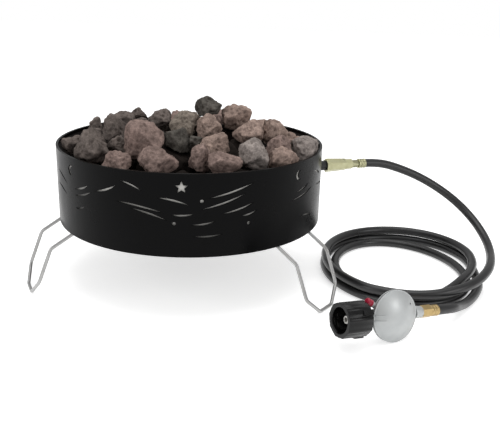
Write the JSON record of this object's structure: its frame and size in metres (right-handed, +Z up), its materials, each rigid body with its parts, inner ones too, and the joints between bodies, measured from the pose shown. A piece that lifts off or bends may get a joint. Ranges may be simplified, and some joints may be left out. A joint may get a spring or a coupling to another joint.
{
  "type": "portable propane fire pit",
  "caption": "Round black pierced steel bowl heaped with lava rock, standing on folding wire legs, with a coiled gas hose, regulator and hand nut for a propane cylinder.",
  "frame": {"origin": "on the ground, centred under the bowl and its legs", "axes": "+Z up; +Y towards the rear leg; +X to the side where the hose leaves the bowl"},
  "size_m": [0.7293, 0.5225, 0.2776],
  "materials": {
    "black_enamel": "satin black high-heat paint",
    "pan_steel": "bare bright steel, dark with paint inside",
    "burner_steel": "bare steel",
    "brass": "machined",
    "black_steel": "blackened steel",
    "hose_rubber": "smooth black, faint sheen",
    "leg_wire": "plated bright wire",
    "lava_rock": "rough, porous, red brown to grey",
    "regulator_casting": "satin die casting",
    "seal_rubber": "matt",
    "spring_steel": "plain",
    "red_plastic": "smooth red",
    "black_plastic": "moulded black"
  },
  "bodies": {
    "bowl": {"skirt": "black_enamel", "fire_pan": "pan_steel", "ring_burner": "burner_steel", "burner_saddles": "burner_steel", "feed_tube": "burner_steel", "gas_jet": "brass", "inlet_bulkhead": "black_steel", "inlet_locknut": "black_steel", "swivel_nut": "brass", "hose_tailpiece": "brass", "ferrule_bowl": "brass", "ferrule_regulator": "brass", "outlet_nut": "brass", "inlet_nipple": "brass", "hose_run": "hose_rubber", "hose_coil": "hose_rubber", "hose_tail": "hose_rubber", "bracket_rear": "black_enamel", "bracket_left": "black_enamel", "bracket_right": "black_enamel", "lava_rocks": "lava_rock", "regulator_body": "regulator_casting", "regulator_cover": "regulator_casting", "diaphragm": "seal_rubber", "nipple_seal": "seal_rubber", "diaphragm_plate": "spring_steel", "regulator_spring": "spring_steel", "vent_cap": "red_plastic"},
    "leg_rear": {"leg_rear": "leg_wire"},
    "leg_left": {"leg_left": "leg_wire"},
    "leg_right": {"leg_right": "leg_wire"},
    "hand_nut": {"hand_nut": "black_plastic"}
  },
  "joints": [
    {"name": "leg_rear_fold", "type": "hinge", "parent": "bowl", "child": "leg_rear", "pos_m": [0, 0.15269, 0.10276], "axis": [-1, 0, 0], "range_deg": [0, 132]},
    {"name": "leg_left_fold", "type": "hinge", "parent": "bowl", "child": "leg_left", "pos_m": [-0.15588, -0.11731, 0.10276], "axis": [0.5, -0.866, 0], "range_deg": [0, 132]},
    {"name": "leg_right_fold", "type": "hinge", "parent": "bowl", "child": "leg_right", "pos_m": [0.15588, -0.11731, 0.10276], "axis": [0.5, 0.866, 0], "range_deg": [0, 132]},
    {"name": "hand_nut_turn", "type": "hinge", "parent": "bowl", "child": "hand_nut", "pos_m": [0.27069, -0.25049, 0.03774], "axis": [0.8341, 0.5417, -0.1045], "continuous": true}
  ]
}
